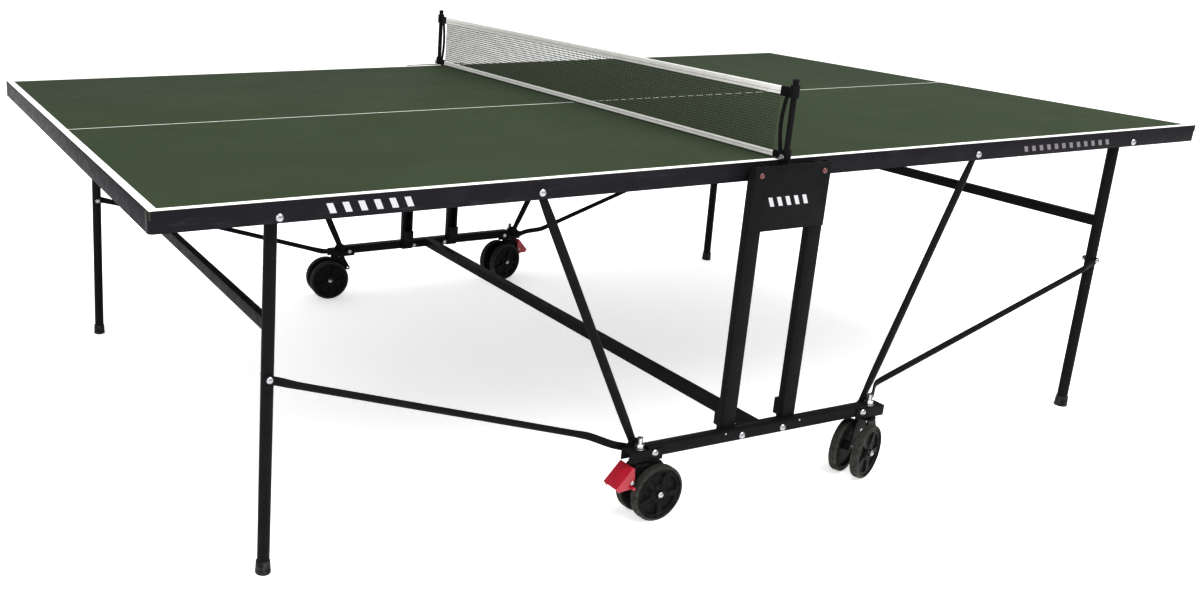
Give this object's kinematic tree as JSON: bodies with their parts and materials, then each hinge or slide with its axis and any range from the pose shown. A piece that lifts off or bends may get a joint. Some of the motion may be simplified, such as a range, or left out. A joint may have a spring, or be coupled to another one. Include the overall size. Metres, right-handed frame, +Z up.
{
  "type": "folding table tennis table",
  "caption": "Full-size roll-away table tennis table: two green boards that fold up along a wheeled centre frame, with folding leg frames and a net.",
  "frame": {"origin": "on the floor under the middle of the net", "axes": "+X along the table's length, +Y across it to the far side, +Z up"},
  "size_m": [2.74, 1.7142, 0.931],
  "materials": {
    "board_green": "matte paint on board",
    "apron_black": "satin powder coat",
    "frame_black": "satin powder coat",
    "fork_black": "satin",
    "zinc": "zinc plated",
    "wheel_black": "matte",
    "foot_plastic": "matte",
    "guide_plastic": "matte",
    "rubber_black": "matte",
    "red_plastic": "gloss",
    "net_cloth": "fine woven mesh",
    "net_tape": "woven tape"
  },
  "bodies": {
    "base": {"near_base_rail": "frame_black", "far_base_rail": "frame_black", "base_crossbar": "frame_black", "near_guides": "frame_black", "far_guides": "frame_black", "near_centre_plate": "frame_black", "far_centre_plate": "frame_black", "caster_brackets": "frame_black", "caster_stems": "zinc", "base_bolts": "zinc", "slide_buffers": "rubber_black", "plate_caps": "red_plastic", "net_posts": "frame_black", "net": "net_cloth", "net_tapes": "net_tape"},
    "left_slider": {"left_slide_blocks": "guide_plastic"},
    "left_half": {"left_top": "board_green", "left_side_rails": "apron_black", "left_end_rails": "apron_black", "left_braces": "frame_black", "left_pivot_pins": "zinc", "left_apron_bolts": "zinc"},
    "left_leg_frame": {"left_legs": "frame_black", "left_leg_crossbar": "frame_black", "left_feet": "foot_plastic", "left_leg_bolts": "zinc"},
    "left_strut_pair": {"left_struts": "frame_black"},
    "left_rod_pair": {"left_rods": "frame_black"},
    "right_slider": {"right_slide_blocks": "guide_plastic"},
    "right_half": {"right_top": "board_green", "right_side_rails": "apron_black", "right_end_rails": "apron_black", "right_braces": "frame_black", "right_pivot_pins": "zinc", "right_apron_bolts": "zinc"},
    "right_leg_frame": {"right_legs": "frame_black", "right_leg_crossbar": "frame_black", "right_feet": "foot_plastic", "right_leg_bolts": "zinc"},
    "right_strut_pair": {"right_struts": "frame_black"},
    "right_rod_pair": {"right_rods": "frame_black"},
    "near_left_caster": {"near_left_fork": "fork_black", "near_left_axle": "zinc"},
    "near_left_outer_roller": {"near_left_outer_wheel": "wheel_black"},
    "near_left_inner_roller": {"near_left_inner_wheel": "wheel_black"},
    "near_left_brake": {"near_left_pedal": "red_plastic"},
    "near_right_caster": {"near_right_fork": "fork_black", "near_right_axle": "zinc"},
    "near_right_outer_roller": {"near_right_outer_wheel": "wheel_black"},
    "near_right_inner_roller": {"near_right_inner_wheel": "wheel_black"},
    "far_left_caster": {"far_left_fork": "fork_black", "far_left_axle": "zinc"},
    "far_left_outer_roller": {"far_left_outer_wheel": "wheel_black"},
    "far_left_inner_roller": {"far_left_inner_wheel": "wheel_black"},
    "far_right_caster": {"far_right_fork": "fork_black", "far_right_axle": "zinc"},
    "far_right_outer_roller": {"far_right_outer_wheel": "wheel_black"},
    "far_right_inner_roller": {"far_right_inner_wheel": "wheel_black"},
    "far_right_brake": {"far_right_pedal": "red_plastic"}
  },
  "joints": [
    {"name": "left_slide", "type": "slide", "parent": "base", "child": "left_slider", "axis": [0, 0, -1], "range_m": [0, 0.49945]},
    {"name": "left_fold", "type": "hinge", "parent": "left_slider", "child": "left_half", "pos_m": [-0.085, 0, 0.737], "axis": [0, 1, 0], "range_deg": [0, 90]},
    {"name": "left_leg_swing", "type": "hinge", "parent": "left_half", "child": "left_leg_frame", "pos_m": [-1.134, 0, 0.73], "axis": [0, -1, 0], "range_deg": [0, 90.05]},
    {"name": "left_strut_swing", "type": "hinge", "parent": "left_half", "child": "left_strut_pair", "pos_m": [-0.592, 0, 0.733], "axis": [0, -1, 0], "range_deg": [0, 42.63]},
    {"name": "left_rod_swing", "type": "hinge", "parent": "left_leg_frame", "child": "left_rod_pair", "pos_m": [-1.14, 0, 0.412], "axis": [0, 1, 0], "range_deg": [0, 88.14]},
    {"name": "right_slide", "type": "slide", "parent": "base", "child": "right_slider", "axis": [0, 0, -1], "range_m": [0, 0.49945]},
    {"name": "right_fold", "type": "hinge", "parent": "right_slider", "child": "right_half", "pos_m": [0.085, 0, 0.737], "axis": [0, -1, 0], "range_deg": [0, 90]},
    {"name": "right_leg_swing", "type": "hinge", "parent": "right_half", "child": "right_leg_frame", "pos_m": [1.134, 0, 0.73], "axis": [0, 1, 0], "range_deg": [0, 90.05]},
    {"name": "right_strut_swing", "type": "hinge", "parent": "right_half", "child": "right_strut_pair", "pos_m": [0.592, 0, 0.733], "axis": [0, 1, 0], "range_deg": [0, 42.63]},
    {"name": "right_rod_swing", "type": "hinge", "parent": "right_leg_frame", "child": "right_rod_pair", "pos_m": [1.14, 0, 0.412], "axis": [0, -1, 0], "range_deg": [0, 88.14]},
    {"name": "near_left_swivel", "type": "hinge", "parent": "base", "child": "near_left_caster", "pos_m": [-0.327, -0.8, 0.15], "axis": [0, 0, 1], "continuous": true},
    {"name": "near_left_outer_roll", "type": "hinge", "parent": "near_left_caster", "child": "near_left_outer_roller", "pos_m": [-0.28902, -0.79867, 0.064], "axis": [-0.0349, 0.9994, 0], "continuous": true},
    {"name": "near_left_inner_roll", "type": "hinge", "parent": "near_left_caster", "child": "near_left_inner_roller", "pos_m": [-0.28902, -0.79867, 0.064], "axis": [-0.0349, 0.9994, 0], "continuous": true},
    {"name": "near_left_brake_press", "type": "hinge", "parent": "near_left_caster", "child": "near_left_brake", "pos_m": [-0.35598, -0.80101, 0.098], "axis": [0.0349, -0.9994, 0], "range_deg": [0, 12]},
    {"name": "near_right_swivel", "type": "hinge", "parent": "base", "child": "near_right_caster", "pos_m": [0.327, -0.8, 0.15], "axis": [0, 0, 1], "continuous": true},
    {"name": "near_right_outer_roll", "type": "hinge", "parent": "near_right_caster", "child": "near_right_outer_roller", "pos_m": [0.29129, -0.813, 0.064], "axis": [0.342, -0.9397, 0], "continuous": true},
    {"name": "near_right_inner_roll", "type": "hinge", "parent": "near_right_caster", "child": "near_right_inner_roller", "pos_m": [0.29129, -0.813, 0.064], "axis": [0.342, -0.9397, 0], "continuous": true},
    {"name": "far_left_swivel", "type": "hinge", "parent": "base", "child": "far_left_caster", "pos_m": [-0.327, 0.8, 0.15], "axis": [0, 0, 1], "continuous": true},
    {"name": "far_left_outer_roll", "type": "hinge", "parent": "far_left_caster", "child": "far_left_outer_roller", "pos_m": [-0.36472, 0.80463, 0.064], "axis": [-0.1219, -0.9925, 0], "continuous": true},
    {"name": "far_left_inner_roll", "type": "hinge", "parent": "far_left_caster", "child": "far_left_inner_roller", "pos_m": [-0.36472, 0.80463, 0.064], "axis": [-0.1219, -0.9925, 0], "continuous": true},
    {"name": "far_right_swivel", "type": "hinge", "parent": "base", "child": "far_right_caster", "pos_m": [0.327, 0.8, 0.15], "axis": [0, 0, 1], "continuous": true},
    {"name": "far_right_outer_roll", "type": "hinge", "parent": "far_right_caster", "child": "far_right_outer_roller", "pos_m": [0.28983, 0.7921, 0.064], "axis": [0.2079, -0.9781, 0], "continuous": true},
    {"name": "far_right_inner_roll", "type": "hinge", "parent": "far_right_caster", "child": "far_right_inner_roller", "pos_m": [0.28983, 0.7921, 0.064], "axis": [0.2079, -0.9781, 0], "continuous": true},
    {"name": "far_right_brake_press", "type": "hinge", "parent": "far_right_caster", "child": "far_right_brake", "pos_m": [0.35537, 0.80603, 0.098], "axis": [-0.2079, 0.9781, 0], "range_deg": [0, 12]}
  ],
  "couplings": [
    {"joint": "left_slide", "follows": "left_fold", "m_per_rad": 0.31777},
    {"joint": "left_leg_swing", "follows": "left_fold", "ratio": 1},
    {"joint": "left_strut_swing", "follows": "left_fold", "ratio": 0.47333},
    {"joint": "left_rod_swing", "follows": "left_fold", "ratio": 0.97906},
    {"joint": "right_slide", "follows": "right_fold", "m_per_rad": 0.31777},
    {"joint": "right_leg_swing", "follows": "right_fold", "ratio": 1},
    {"joint": "right_strut_swing", "follows": "right_fold", "ratio": 0.47333},
    {"joint": "right_rod_swing", "follows": "right_fold", "ratio": 0.97906}
  ]
}
